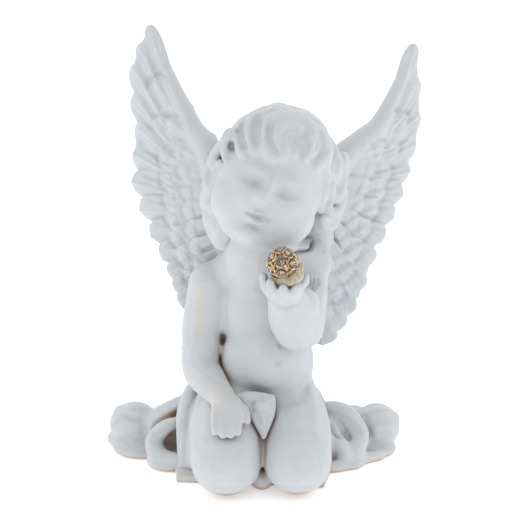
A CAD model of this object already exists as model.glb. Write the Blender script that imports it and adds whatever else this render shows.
"""A kneeling cherub in matt white cast resin, with a small crystal ball in its raised hand.

Each casting is built up from lumps and rolls, pressed together into one skin, and then worked over as
a modeller would: hollows are filled soft, and lines are pressed in or raised. The figure is drawn in
millimetres about its own origin, and every finished piece is then put in its place in the frame.
"""

import logging
import math
import random
from dataclasses import dataclass, field
from enum import Enum
from typing import Callable, Iterable, Sequence

import bpy
import numpy as np
from mathutils import Euler, Matrix, Vector

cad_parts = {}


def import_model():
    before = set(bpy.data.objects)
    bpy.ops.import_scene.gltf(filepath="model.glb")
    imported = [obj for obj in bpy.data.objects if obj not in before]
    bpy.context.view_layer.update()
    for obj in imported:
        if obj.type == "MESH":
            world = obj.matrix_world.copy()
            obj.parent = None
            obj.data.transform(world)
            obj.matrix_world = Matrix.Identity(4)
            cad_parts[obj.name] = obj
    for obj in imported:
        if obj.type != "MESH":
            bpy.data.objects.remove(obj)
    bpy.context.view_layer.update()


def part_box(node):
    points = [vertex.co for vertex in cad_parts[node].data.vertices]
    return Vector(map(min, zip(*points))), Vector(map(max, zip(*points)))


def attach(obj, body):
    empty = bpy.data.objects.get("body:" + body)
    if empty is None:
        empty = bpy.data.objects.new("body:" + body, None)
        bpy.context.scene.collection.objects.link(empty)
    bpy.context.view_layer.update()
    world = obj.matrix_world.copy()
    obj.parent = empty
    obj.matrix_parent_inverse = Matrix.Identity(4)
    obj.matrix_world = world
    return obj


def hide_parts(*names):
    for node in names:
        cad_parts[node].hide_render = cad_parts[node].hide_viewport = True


LOG = logging.getLogger("cherub")
MM = 0.001
FORWARD = Vector((0, -1, 0))
Triple = tuple[float, float, float]
Pair = tuple[float, float]


class Slot(Enum):
    """The material slots of the record that the pieces take their finish from."""

    RESIN = "resin"
    BASE = "cast_base"
    GOLD = "gold_plate"
    CRYSTAL = "crystal"
    GLUE = "glue"


# ---- the frame ----


@dataclass(frozen=True)
class Drawing:
    """Where the figure's own drawing, in millimetres, lies in the frame."""

    shift: Vector

    @classmethod
    def from_frame(cls) -> "Drawing":
        """Read the drawing's shift off the base slab, whose low corner is known in the drawing.

        Returns:
            The drawing, ready to place pieces.
        """
        low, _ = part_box("base_slab")
        return cls(low / MM - Vector(BaseSlab().low_corner()))

    def point(self, place: Sequence[float]) -> Vector:
        """Turn a point of the drawing into metres in the frame."""
        return (Vector(place) + self.shift) * MM

    def settle(self, piece: bpy.types.Object) -> None:
        """Put a finished mesh in its place in the frame."""
        piece.data.transform(Matrix.Scale(MM, 4) @ Matrix.Translation(self.shift))


# ---- the modeller's hands ----


def clear_selection() -> None:
    """Deselect every object, so that an operator acts only on what is chosen next."""
    for chosen in list(bpy.context.selected_objects):
        chosen.select_set(False)


def choose(pieces: Iterable[bpy.types.Object]) -> bpy.types.Object:
    """Select some objects and make the first one active.

    Args:
        pieces: The objects to select.

    Returns:
        The active object.
    """
    clear_selection()
    chosen = list(pieces)
    for piece in chosen:
        piece.select_set(True)
    bpy.context.view_layer.objects.active = chosen[0]
    return chosen[0]


def apply_modifiers(piece: bpy.types.Object) -> None:
    """Apply every modifier of a piece, in order."""
    choose([piece])
    for modifier in list(piece.modifiers):
        bpy.ops.object.modifier_apply(modifier=modifier.name)


def curve_through(points: Sequence[Sequence[float]], steps: int = 8) -> np.ndarray:
    """Draw a smooth line through some points.

    Args:
        points: The points, of any dimension.
        steps: How many short segments join each pair.

    Returns:
        The line's points, one per row.
    """
    knots = np.array(points, float)
    if len(knots) < 3:
        share = np.linspace(0, 1, steps + 1)[:, None]
        return knots[0] * (1 - share) + knots[-1] * share
    padded = np.vstack([2 * knots[0] - knots[1], knots, 2 * knots[-1] - knots[-2]])
    line = []
    for i in range(1, len(padded) - 2):
        before, start, end, after = padded[i - 1 : i + 3]
        for t in np.linspace(0, 1, steps, endpoint=False):
            line.append(
                0.5
                * (
                    2 * start
                    + (end - before) * t
                    + (2 * before - 5 * start + 4 * end - after) * t**2
                    + (3 * start - before - 3 * end + after) * t**3
                )
            )
    line.append(padded[-2])
    return np.array(line)


def lump(
    centre: Sequence[float], radii: Sequence[float], turn: Triple = (0, 0, 0), parts: int = 28
) -> bpy.types.Object:
    """Add a rounded lump.

    Args:
        centre: Its middle.
        radii: Its three half-widths.
        turn: Its turns about X, Y and Z, in degrees.
        parts: How many segments go round it.

    Returns:
        The lump, with its place in its mesh.
    """
    bpy.ops.mesh.primitive_uv_sphere_add(segments=parts, ring_count=parts // 2, radius=1)
    piece = bpy.context.object
    turned = Euler([math.radians(a) for a in turn]).to_matrix().to_4x4()
    piece.data.transform(Matrix.Translation(centre) @ turned @ Matrix.Diagonal((*radii, 1)))
    return piece


def roll(points: Sequence[Triple], radii: Sequence[float], steps: int = 5) -> bpy.types.Object:
    """Add a roll of clay along a line, thicker and thinner as asked, with round ends.

    Args:
        points: The line's points.
        radii: The roll's radius at each point.
        steps: How finely the line is divided.

    Returns:
        The roll as one mesh.
    """
    line = curve_through([(*p, r) for p, r in zip(points, radii)], steps)
    bpy.ops.curve.primitive_nurbs_path_add()
    curve = bpy.context.object
    data = curve.data
    data.splines.clear()
    spline = data.splines.new("POLY")
    spline.points.add(len(line) - 1)
    for knot, (x, y, z, radius) in zip(spline.points, line):
        knot.co = (x, y, z, 1)
        knot.radius = max(radius, 0.05)
    data.bevel_depth = 1
    data.bevel_resolution = 4
    data.use_fill_caps = True
    choose([curve])
    bpy.ops.object.convert(target="MESH")
    tube = bpy.context.object
    ends = [lump(line[i][:3], [max(line[i][3], 0.05)] * 3, parts=16) for i in (0, -1)]
    choose([tube, *ends])
    bpy.ops.object.join()
    return bpy.context.object


def press_together(lumps: Sequence[bpy.types.Object], name: str, grain: float) -> bpy.types.Object:
    """Press lumps into one closed skin.

    Args:
        lumps: The lumps, which are used up.
        name: The skin's name.
        grain: The size of the skin's faces.

    Returns:
        The skin.
    """
    piece = choose(lumps)
    if len(lumps) > 1:
        bpy.ops.object.join()
    piece = bpy.context.object
    piece.name = piece.data.name = name
    remesh = piece.modifiers.new("press", "REMESH")
    remesh.mode = "VOXEL"
    remesh.voxel_size = grain
    apply_modifiers(piece)
    return piece


def cut_off(piece: bpy.types.Object, point: Triple, away: Sequence[float]) -> None:
    """Cut a piece by a plane and cap it, keeping the side that the arrow points away from.

    Args:
        piece: The piece to cut.
        point: A point of the plane.
        away: The arrow towards what is cut off.
    """
    choose([piece])
    bpy.ops.object.mode_set(mode="EDIT")
    bpy.ops.mesh.select_all(action="SELECT")
    bpy.ops.mesh.bisect(plane_co=point, plane_no=away, use_fill=True, clear_outer=True)
    bpy.ops.object.mode_set(mode="OBJECT")


class Skin:
    """The surface of a piece, whose points are pushed about."""

    def __init__(self, piece: bpy.types.Object) -> None:
        """Read a piece's surface.

        Args:
            piece: The piece to work on.
        """
        self.piece = piece
        mesh = piece.data
        self.points = np.empty(len(mesh.vertices) * 3)
        mesh.vertices.foreach_get("co", self.points)
        self.points = self.points.reshape(-1, 3)
        edges = np.empty(len(mesh.edges) * 2, int)
        mesh.edges.foreach_get("vertices", edges)
        self.starts, self.ends = edges.reshape(-1, 2).T
        count = len(self.points)
        self.links = np.bincount(self.starts, minlength=count) + np.bincount(self.ends, minlength=count)
        self.links = np.maximum(self.links, 1)[:, None]

    def normals(self) -> np.ndarray:
        """Give the way that each point faces."""
        mesh = self.piece.data
        mesh.vertices.foreach_set("co", self.points.ravel())
        mesh.update()
        facing = np.empty(len(self.points) * 3)
        mesh.vertex_normals.foreach_get("vector", facing)
        return facing.reshape(-1, 3)

    def average(self, values: np.ndarray) -> np.ndarray:
        """Give each point the mean of its neighbours' values.

        Args:
            values: One row per point.

        Returns:
            The means, one row per point.
        """
        count = len(values)
        means = np.empty_like(values)
        for axis in range(values.shape[1]):
            column = values[:, axis]
            means[:, axis] = np.bincount(self.starts, column[self.ends], count)
            means[:, axis] += np.bincount(self.ends, column[self.starts], count)
        return means / self.links

    def soften(self, turns: int, where: np.ndarray | float = 1.0) -> "Skin":
        """Smooth the surface.

        Args:
            turns: How many times.
            where: How much of it acts on each point, from 0 to 1.

        Returns:
            The skin itself.
        """
        share = np.broadcast_to(np.asarray(where, float), (len(self.points),))[:, None]
        for _ in range(turns):
            self.points += 0.5 * share * (self.average(self.points) - self.points)
        return self

    def fill_hollows(self, turns: int, where: np.ndarray | float = 1.0) -> "Skin":
        """Fill sharp hollows, as a wet brush does, and leave what stands out.

        Args:
            turns: How many times, each of which widens the fillet.
            where: How much of it acts on each point, from 0 to 1.

        Returns:
            The skin itself.
        """
        share = np.broadcast_to(np.asarray(where, float), (len(self.points),))
        for _ in range(turns):
            facing = self.normals()
            drift = ((self.average(self.points) - self.points) * facing).sum(1)
            self.points += facing * (np.clip(drift, 0, None) * share)[:, None]
        return self.soften(2, share)

    def reach(self, centre: Sequence[float], radius: float | Triple) -> np.ndarray:
        """Give each point a share that falls from 1 at a centre to 0 far from it.

        Args:
            centre: The middle.
            radius: The distance, or one for each axis, at which the share is about a third.

        Returns:
            The share for each point.
        """
        return np.exp(-((((self.points - np.array(centre)) / np.array(radius)) ** 2).sum(1)))

    def swell(self, centre: Sequence[float], radius: float | Triple, height: float) -> "Skin":
        """Raise a soft mound on the surface, or press one in.

        Args:
            centre: The mound's middle.
            radius: Its spread, or one for each axis.
            height: Its height, below 0 to press in.

        Returns:
            The skin itself.
        """
        self.points += self.normals() * (self.reach(centre, radius) * height)[:, None]
        return self

    def stroke(
        self,
        line: Sequence[Sequence[float]],
        width: float,
        depth: float,
        facing: Sequence[float] | None = None,
        taper: bool = True,
    ) -> "Skin":
        """Press a line into the surface with a tool, or raise one.

        Args:
            line: The points that the tool goes through.
            width: The line's half-width.
            depth: Its depth, below 0 to raise it.
            facing: The way that the worked side faces; distances are then measured across that way only.
            taper: Whether the line fades at its ends.

        Returns:
            The skin itself.
        """
        path = curve_through(line, 6)
        points = self.points
        normals = self.normals()
        share = np.ones(len(points))
        near = np.ones(len(points), bool)
        if facing is not None:
            arrow = np.array(Vector(facing).normalized())
            share = np.clip((normals @ arrow) * 2.5, 0, 1)
            near = share > 0
            middle = path.mean(0) @ arrow
            near &= np.abs(points @ arrow - middle) < 9
            points = points - np.outer(points @ arrow, arrow)
            path = path - np.outer(path @ arrow, arrow)
        low, high = path.min(0) - 3 * width, path.max(0) + 3 * width
        near &= ((points > low) & (points < high)).all(1)
        index = np.nonzero(near)[0]
        best = np.full(len(index), np.inf)
        along = np.zeros(len(index))
        chosen = points[index]
        for i in range(len(path) - 1):
            span = path[i + 1] - path[i]
            length = max(span @ span, 1e-12)
            t = np.clip((chosen - path[i]) @ span / length, 0, 1)
            distance = np.linalg.norm(chosen - path[i] - t[:, None] * span, axis=1)
            closer = distance < best
            best[closer] = distance[closer]
            along[closer] = (i + t[closer]) / (len(path) - 1)
        amount = np.exp(-((best / width) ** 2)) * share[index]
        if taper:
            amount *= np.clip(np.minimum(along, 1 - along) * 5 + 0.15, 0, 1)
        self.points[index] -= normals[index] * (amount * depth)[:, None]
        return self

    def done(self) -> bpy.types.Object:
        """Write the surface back and give the piece."""
        self.piece.data.vertices.foreach_set("co", self.points.ravel())
        self.piece.data.update()
        return self.piece


def shade_soft(piece: bpy.types.Object) -> None:
    """Shade a piece smooth all over."""
    choose([piece])
    bpy.ops.object.shade_smooth()


# ---- the figure's landmarks, in millimetres; right and left are the figure's own ----

HEAD: Triple = (2.4, -2.4, 59.3)
RIGHT_SHOULDER: Triple = (-9.8, 0.6, 35.6)
RIGHT_UPPER_ARM: Triple = (-11.4, -0.6, 27.5)
RIGHT_ELBOW: Triple = (-11.4, -3, 20.4)
RIGHT_WRIST: Triple = (-7.8, -10.6, 17.6)
RIGHT_PALM: Triple = (-6.5, -14.2, 15.7)
LEFT_SHOULDER: Triple = (8, 0.6, 35.8)
LEFT_ELBOW: Triple = (6.6, -8.6, 30.3)
LEFT_WRIST: Triple = (4.3, -13.6, 37)
LEFT_PALM: Triple = (3.7, -15, 39.8)
BALL: Triple = (3.4, -16.5, 45.1)


def between(start: Sequence[float], end: Sequence[float], share: float) -> Vector:
    """Give the point at a share of the way from one point to another."""
    return Vector(start).lerp(Vector(end), share)


def arrow(start: Sequence[float], end: Sequence[float]) -> Vector:
    """Give the way from one point to another, one long."""
    return (Vector(end) - Vector(start)).normalized()


@dataclass(frozen=True)
class Arm:
    """An arm: the line it follows from the shoulder to the wrist, and where the forearm is bonded on."""

    line: tuple[Triple, ...]
    radii: tuple[float, ...]
    joint: float

    def cut_point(self) -> Vector:
        """Give the point of the bond between the upper arm and the forearm."""
        return between(self.line[1], self.line[2], self.joint)

    def upper(self) -> list[bpy.types.Object]:
        """Lay the upper arm, with a thinner tenon that goes into the forearm."""
        cut = self.cut_point()
        thick = self.radii[1] + (self.radii[2] - self.radii[1]) * self.joint
        way = arrow(self.line[1], self.line[2])
        tenon = [tuple(cut - way * 0.4), tuple(cut + way * 1.6)]
        return [
            roll([self.line[0], self.line[1], tuple(cut)], [self.radii[0], self.radii[1], thick], 8),
            roll(tenon, [thick - 0.7, thick - 0.9]),
        ]

    def lower(self) -> list[bpy.types.Object]:
        """Lay the arm from above the bond down to the wrist."""
        return [roll(self.line[1:], self.radii[1:], 8)]


RIGHT_ARM = Arm(
    (RIGHT_SHOULDER, RIGHT_UPPER_ARM, RIGHT_ELBOW, (-10, -6.8, 19), RIGHT_WRIST),
    (4.1, 3.8, 3.75, 3.3, 2.5),
    0.5,
)
LEFT_ARM = Arm(
    (LEFT_SHOULDER, (7.6, -3.4, 33.4), LEFT_ELBOW, (5.2, -11.4, 33.4), LEFT_WRIST),
    (4.2, 4.3, 4.6, 4.4, 3.6),
    0.55,
)


@dataclass
class Body:
    """The torso with the neck, the upper arms and the folded legs."""

    grain: float = 0.3
    belly: Triple = (0.8, -1.6, 22.4)

    def build(self) -> bpy.types.Object:
        """Model the body.

        Returns:
            The body's skin.
        """
        trunk = [
            lump((-0.8, 0.4, 31.6), (9, 6.4, 8.6)),
            lump(self.belly, (8, 7.3, 8.6)),
            lump((0.2, 0.5, 14.4), (9.8, 8, 7)),
            lump((3.6, -0.2, 20.4), (6, 6, 7.4)),
            lump((-6.8, 2, 24), (3, 2.8, 7)),
            lump((-4.2, -3.2, 20.6), (3.7, 4.4, 7.4)),
            lump((8, 2.2, 39.2), (5, 3.6, 4.6)),
            roll([(1.6, -0.6, 44), (6.6, 0.6, 41.4), (10, 1.4, 38.6)], [3.4, 3, 2.8]),
            lump((-0.6, 0.8, 38.2), (9.4, 5.2, 4.8)),
            roll([(-0.6, 0, 36), (-0.6, -1.6, 42.4), (0.8, -2.4, 50)], [6, 6.8, 6.2]),
            lump((-3.4, 5.4, 13), (5.4, 5, 5.6)),
            lump((4.4, 5.4, 13), (5.4, 5, 5.6)),
        ]
        legs = [
            roll([(-5.2, 0.8, 12.6), (-6.3, -7, 10.2), (-6.8, -15.2, 6.8)], [7.2, 7.4, 6.7]),
            roll([(4, 0.8, 11.6), (5.7, -7, 9.9), (6.3, -15, 6.6)], [6.8, 7, 6.4]),
            roll([(-6.6, -14, 5), (-6.2, -4, 5.2), (-5, 8, 4.6)], [4.6, 4.4, 3]),
            roll([(6.2, -13.8, 4.8), (6, -4, 5), (5, 8, 4.6)], [4.5, 4.3, 3]),
            lump((-0.2, -7.6, 4.4), (3, 3.6, 4.4)),
            lump((-0.2, -12, 1.8), (2.4, 3, 2.2)),
            lump((9.8, 6, 43), (3.6, 2.6, 4.4)),
        ]
        arms = [*RIGHT_ARM.upper(), *LEFT_ARM.upper()]
        piece = press_together([*trunk, *legs, *arms], "torso_and_legs_cast", self.grain)
        skin = Skin(piece)
        gap = skin.reach((-7.6, -4, 20), (1.6, 5, 7))
        lap = skin.reach((0.2, -15, 6), (1.5, 8, 9))
        right_bond = skin.reach(RIGHT_ARM.cut_point(), 4.2)
        left_bond = skin.reach(LEFT_ARM.cut_point(), 4.2)
        skin.fill_hollows(50, 1 - np.clip(gap + lap + right_bond + left_bond, 0, 1))
        skin.soften(6)
        self.model_torso(skin)
        self.model_legs(skin)
        skin.points[:, 2] = np.maximum(skin.points[:, 2], 0.05)
        return skin.done()

    def model_torso(self, skin: Skin) -> None:
        """Work over the chest, the belly and the shoulders."""
        front = (0, -1, 0.1)
        skin.swell((-4.4, -5.6, 34), (3.4, 2.5, 2.8), 0.25)
        skin.swell((2.4, -5.8, 34), (3.4, 2.5, 2.8), 0.25)
        skin.stroke([(-6.8, -5, 37.4), (-7.5, -4.6, 33), (-7.3, -4.6, 28)], 0.8, 0.75, front)
        skin.swell((1, -9, 20.4), (5, 3, 3.6), 0.5)
        skin.swell((2.8, -9.6, 23.3), (0.4, 2, 0.45), -0.6)
        for i in range(4):
            skin.stroke(
                [(7.6 + 0.8 * i, -5, 38.6 - 0.1 * i), (8.8 + 0.5 * i, -5, 35.8 + 0.3 * i)], 0.24, 0.55, front
            )
        rng = random.Random(11)
        for i in range(16):
            seam = (2.2 + 0.04 * i + rng.uniform(-0.35, 0.35), -7, 31.6 - 0.42 * i)
            skin.swell(seam, (0.3, 3, 0.3), rng.uniform(0.1, 0.4))
        skin.stroke([(-4, -8, 16.6), (1.4, -9.4, 15.4), (7, -7.4, 16.6), (10, -4, 18.4)], 0.8, 0.5, front)
        crack = [(9.2, 0, 44.2), (8.9, -1, 42.9), (6.8, -2.4, 42.6), (5.6, -3, 42)]
        skin.stroke(crack, 0.3, 1.3, (0.2, -1, 0.5), taper=False)

    def model_legs(self, skin: Skin) -> None:
        """Work over the knees."""
        skin.swell((-6.8, -21, 8.4), (3.4, 3, 3), 0.3)
        skin.swell((6.3, -20.6, 8), (3.2, 3, 3), 0.3)
        skin.stroke([(-10, -19, 4.2), (-6.8, -21.4, 3.6), (-3.6, -19.4, 4.2)], 0.7, 0.3, (0, -1, -0.2))
        skin.stroke([(3.2, -19, 4), (6.2, -21, 3.4), (9.4, -18.8, 4)], 0.7, 0.3, (0, -1, -0.2))


@dataclass
class RestingForearm:
    """The right forearm, whose hand lies on the thigh with the fingers over the knee."""

    grain: float = 0.2
    finger_width: float = 0.86
    across: tuple[float, ...] = (-2.35, -0.85, 0.65, 2.05)
    reach: tuple[float, ...] = (4.1, 4.8, 4.8, 4.2)

    def build(self) -> bpy.types.Object:
        """Model the forearm and the hand.

        Returns:
            The forearm's skin.
        """
        palm = Vector(RIGHT_PALM)
        lumps = [
            *RIGHT_ARM.lower(),
            lump((-11.6, -2.6, 19.8), (3.5, 3.5, 3.3)),
            lump(palm, (3.1, 4, 2.1), (32, 0, -8)),
            roll([RIGHT_WRIST, tuple(palm + Vector((-0.2, 1, 0.5)))], [2.5, 2.4]),
        ]
        for side, length in zip(self.across, self.reach):
            root = palm + Vector((side * 0.85, -1, 0.1))
            bend = root + Vector((side * 0.1, -length * 0.48, -length * 0.2))
            tip = root + Vector((side * 0.06, -length * 0.84, -length * 0.52))
            lumps.append(roll([tuple(root), tuple(bend), tuple(tip)], [1.05, self.finger_width, 0.74]))
        thumb = [tuple(palm + Vector(p)) for p in ((1.9, 2, 0.3), (3.1, 0.2, 0), (3.5, -2, -0.9))]
        lumps.append(roll(thumb, [1.3, 1, 0.8]))
        piece = press_together(lumps, "right_forearm_and_hand_cast", self.grain)
        skin = Skin(piece)
        fingers = skin.reach(palm + Vector((0.3, -4.6, -2.2)), (5, 3, 3))
        skin.fill_hollows(22, 1 - 0.66 * np.clip(fingers, 0, 1)).soften(5, 1 - 0.6 * fingers)
        skin.stroke([(-10.6, -8.4, 21), (-8.4, -10.8, 20.4), (-6, -10.6, 18.6)], 0.5, 0.22)
        skin.done()
        cut_off(piece, RIGHT_ARM.cut_point(), arrow(RIGHT_ELBOW, RIGHT_UPPER_ARM))
        return piece


@dataclass
class RaisedForearm:
    """The left forearm, held up with the ball in its cupped hand."""

    grain: float = 0.2
    finger_width: float = 0.95

    def build(self) -> bpy.types.Object:
        """Model the forearm and the hand.

        Returns:
            The forearm's skin.
        """
        palm = Vector(LEFT_PALM)
        lumps = [
            *LEFT_ARM.lower(),
            lump((6.6, -8.4, 29.9), (4.2, 4.2, 4)),
            lump((7, -9.6, 34.8), (3.3, 3.4, 4)),
            lump(palm + Vector((0, -0.1, -0.2)), (3.5, 3.1, 2.8), (-16, 6, 0)),
            roll([LEFT_WRIST, tuple(palm)], [3.1, 2.9]),
        ]
        fingers = (
            ((-2, -1, -0.8), (-3.3, -1.4, 0.9), (-3.7, -1.4, 2.8)),
            ((-1.2, -2, -0.2), (-2.1, -3, 0.9), (-2.5, -3.1, 2.2)),
            ((0.4, -2.3, 0), (0, -3.5, 0.5), (-0.2, -3.7, 1.4)),
            ((1.8, -2, 0), (1.9, -3.1, 0.4), (2, -3.3, 1.1)),
            ((2.3, 0.4, 0.2), (3.5, 0.2, 1), (3.9, -0.1, 2.1)),
        )
        for finger in fingers:
            line = [tuple(palm + Vector(p)) for p in finger]
            lumps.append(roll(line, [1.15, self.finger_width, 0.8]))
        piece = press_together(lumps, "left_forearm_and_hand_cast", self.grain)
        skin = Skin(piece)
        hand = skin.reach(palm + Vector((0, -1.6, 1)), (5, 3.4, 3))
        skin.fill_hollows(24, 1 - 0.72 * np.clip(hand, 0, 1)).soften(5, 1 - 0.6 * hand)
        skin.stroke([(1.4, -16, 37.6), (3.6, -17.2, 37), (6.2, -16, 37.8)], 0.45, 0.3)
        skin.done()
        cut_off(piece, LEFT_ARM.cut_point(), arrow(LEFT_ELBOW, LEFT_ARM.line[1]))
        return piece


@dataclass
class Head:
    """The tilted head, with a soft child's face and curly hair."""

    grain: float = 0.2
    roll_angle: float = 16
    yaw_angle: float = -4
    pitch_angle: float = -4
    eye: Pair = (3.25, -2.4)
    mouth: float = -7.9
    face_roll: float = 4.5
    hair_radii: Triple = (9.9, 10.6, 9.9)
    hair_centre: Triple = (0.3, 0.5, 0.8)
    seed: int = 7

    def turn(self) -> Matrix:
        """Give the head's own turn and place."""
        tilt = Matrix.Rotation(math.radians(self.roll_angle), 4, "Y")
        yaw = Matrix.Rotation(math.radians(self.yaw_angle), 4, "Z")
        pitch = Matrix.Rotation(math.radians(self.pitch_angle), 4, "X")
        return Matrix.Translation(HEAD) @ tilt @ yaw @ pitch

    def on_hair(self, side: float, height: float, lift: float) -> Triple:
        """Give a point over the skull.

        Args:
            side: Degrees round from the face towards the head's left.
            height: Degrees above the head's middle.
            lift: How far over the skull it lies.

        Returns:
            The point, in the head's own frame.
        """
        a, b = math.radians(side), math.radians(height)
        way = (math.sin(a) * math.cos(b), -math.cos(a) * math.cos(b), math.sin(b))
        return tuple(c + w * (r + lift) for c, w, r in zip(self.hair_centre, way, self.hair_radii))

    def strand(self, course: Sequence[Triple], thick: float) -> bpy.types.Object:
        """Lay a tapered lock of hair through some points of the head's own frame."""
        count = len(course)
        radii = [
            thick * (0.5 + 0.5 * math.sin(math.pi * (0.2 + 0.66 * i / (count - 1)))) for i in range(count)
        ]
        return roll(course, radii, 4)

    def lock(self, course: Sequence[Pair], thick: float, lift: float = 0.1) -> bpy.types.Object:
        """Lay a tapered lock of hair over the skull.

        Args:
            course: Its line, as degrees round and degrees up.
            thick: Its radius in the middle.
            lift: How far over the skull its line runs.

        Returns:
            The lock.
        """
        return self.strand([self.on_hair(a, b, lift) for a, b in course], thick)

    def front_hair(self) -> list[bpy.types.Object]:
        """Lay the great curl over the forehead and the locks beside it."""
        return [
            self.lock(
                [(-10, 12), (-24, 25), (-34, 42), (-24, 58), (5, 65), (32, 61), (44, 46), (37, 29)],
                1.55,
                -0.15,
            ),
            self.lock([(2, 16), (-10, 25), (-16, 40), (-5, 53), (15, 51), (24, 41)], 1.3, -0.25),
            self.lock([(14, 22), (4, 27), (0, 35), (3, 43)], 0.95, -0.35),
            self.lock([(26, 48), (32, 38), (32, 30), (28, 21)], 1.1, -0.2),
            self.lock([(52, 60), (62, 47), (60, 35), (54, 22), (46, 14)], 1.6, -0.5),
            self.lock([(-50, 62), (-58, 48), (-58, 38), (-51, 29), (-42, 20), (-33, 14)], 1.7, -0.35),
            self.lock([(-72, 40), (-69, 26), (-60, 16), (-49, 8), (-40, 4)], 1.4, -0.2),
            self.lock([(-80, 26), (-75, 12), (-67, 3), (-56, -4)], 1.3, -0.2),
            self.lock([(-46, 26), (-38, 17), (-30, 13), (-24, 13)], 0.9, -0.2),
            lump(self.on_hair(-70, 12, -1.3), (1.7, 1.7, 2)),
            lump(self.on_hair(-66, 20, -1.5), (1.8, 1.8, 2)),
            lump(self.on_hair(-76, 4, -1.5), (1.7, 1.7, 2)),
            self.lock([(-44, 62), (-45, 48), (-40, 36), (-32, 26)], 1.5, -0.75),
            self.lock([(-62, 50), (-66, 36), (-64, 26), (-60, 18)], 1.5, -0.8),
            self.lock([(-86, 44), (-82, 30), (-80, 16), (-76, 6)], 1.6, -0.7),
        ]

    def side_hair(self) -> list[bpy.types.Object]:
        """Lay the curls that hang beside the cheeks down to the shoulders."""
        return [
            lump((-9.4, 1.2, -4.6), (2.1, 4.8, 7.6), (0, 10, 0)),
            lump((-7.2, 1.6, -11.4), (3.4, 4.2, 5.2)),
            lump((-6, 0.6, -13.6), (3, 3.4, 3.8)),
            lump((10.6, 3, -1.8), (2.4, 4.8, 7.2), (0, 8, 0)),
            lump((10.8, 3.4, -6), (3, 4.2, 4.6)),
            self.strand(
                [
                    (-8.6, -3.6, 3.4),
                    (-9.7, -2.8, 2),
                    (-10.7, -2.2, 0),
                    (-11, -2.3, -2),
                    (-10.4, -3.2, -3),
                    (-9.6, -4.2, -1.9),
                ],
                1.25,
            ),
            self.strand(
                [
                    (-11, -0.9, -1.4),
                    (-11.3, -0.6, -3.8),
                    (-10.9, -1.4, -6.2),
                    (-9.8, -2.4, -6.9),
                    (-9.1, -3.3, -5.5),
                ],
                1.25,
            ),
            self.strand(
                [
                    (-10.8, -0.3, -6),
                    (-10.5, -0.3, -8.4),
                    (-9.7, -1.2, -10.2),
                    (-8.5, -2.1, -9.9),
                    (-8.1, -3, -8.4),
                ],
                1.2,
            ),
            self.strand([(-9.8, 0.6, -9.8), (-9.4, 0, -12), (-8.1, -0.9, -13.5), (-6.9, -1.8, -12.8)], 1.25),
            self.strand([(-9, 0.8, -12.6), (-8, 0.2, -15), (-6.3, -0.5, -16), (-4.9, -1.2, -15.2)], 1.25),
            self.strand([(-7.6, 2, -15.4), (-6, 1.4, -17.2), (-4.2, 0.6, -17.4)], 1.3),
            self.strand([(-9.1, -4.6, 4.4), (-9.7, -4.6, 2.4), (-9.6, -4.9, 0.8), (-9.1, -5.5, -0.4)], 1.05),
            self.strand(
                [(4.8, -4, 8.9), (6.5, -3.8, 7.8), (7.7, -3.6, 6.2), (8.1, -4, 4.6), (8.3, -4.5, 2.8)], 1.35
            ),
            self.strand(
                [
                    (6.2, -0.8, 7.8),
                    (8.2, -0.6, 6.2),
                    (9.8, -0.5, 4.3),
                    (10.5, -1, 2.2),
                    (10.2, -2, 0.8),
                    (9.5, -3, 1.8),
                ],
                1.35,
            ),
            self.strand(
                [
                    (10.9, 0.6, 3.4),
                    (12, 0.6, 1.2),
                    (12.4, 0, -1.2),
                    (11.8, -1, -2.5),
                    (10.7, -2, -1.9),
                    (10.5, -2.8, -0.3),
                ],
                1.3,
            ),
            self.strand(
                [(12.7, 2, -0.8), (13.2, 1.2, -2.9), (12.9, 0.3, -4.9), (11.9, -0.8, -5.4), (11, -1.8, -4.3)],
                1.25,
            ),
            self.strand(
                [
                    (13.3, 3.2, -4.2),
                    (13.2, 2.4, -6.6),
                    (12.5, 1.6, -8.5),
                    (11.5, 0.6, -8.3),
                    (10.9, -0.5, -6.7),
                ],
                1.25,
            ),
            self.strand(
                [(8, -5.2, 5.4), (8.6, -4.4, 2.8), (9.3, -3.4, 0), (9.6, -2.8, -3), (10, -1.7, -5.4)], 1
            ),
        ]

    def back_hair(self) -> list[bpy.types.Object]:
        """Lay rows of waved locks over the crown, the sides and the nape."""
        rng = random.Random(self.seed)
        locks = []
        for i in range(15):
            side = 88 + i * 184 / 14
            wave = rng.choice((-1, 1)) * rng.uniform(6, 9)
            for top, bottom in ((80, 34), (42, -2), (6, -40), (-30, -66)):
                shift = rng.uniform(-5, 5)
                drop = (bottom - top) / 4
                course = [
                    (side + shift + wave * math.sin(1.5 * k + rng.uniform(-0.3, 0.3)), top + drop * k)
                    for k in range(5)
                ]
                locks.append(self.lock(course, rng.uniform(1.5, 1.9), -1.1))
        for i in range(7):
            side = -75 + i * 25
            locks.append(self.lock([(side, 88), (side + 6, 78), (side - 3, 66)], 1.6, -1.3))
        return locks + self.nape_hair(rng)

    def nape_hair(self, rng: random.Random) -> list[bpy.types.Object]:
        """Lay waved locks down over the nape.

        Args:
            rng: The source of the small differences between the locks.

        Returns:
            The locks.
        """
        locks = []
        for i in range(9):
            across = (i - 4) / 4
            wave = rng.choice((-1, 1)) * rng.uniform(0.5, 0.9)
            course = []
            end = (-12.6, 6.6 + rng.uniform(-0.4, 0.4))
            for k, (height, back) in enumerate([(1.5, 10.2), (-2.5, 10.6), (-6.5, 9.9), (-10, 8.6), end]):
                side = 9.4 * across * (1 - 0.05 * k) + wave * math.sin(1.6 * k)
                course.append((side, 2 + (back - 2) * math.sqrt(1 - 0.72 * across**2), height))
            locks.append(self.strand(course, rng.uniform(1.7, 2.1)))
        return locks

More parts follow.
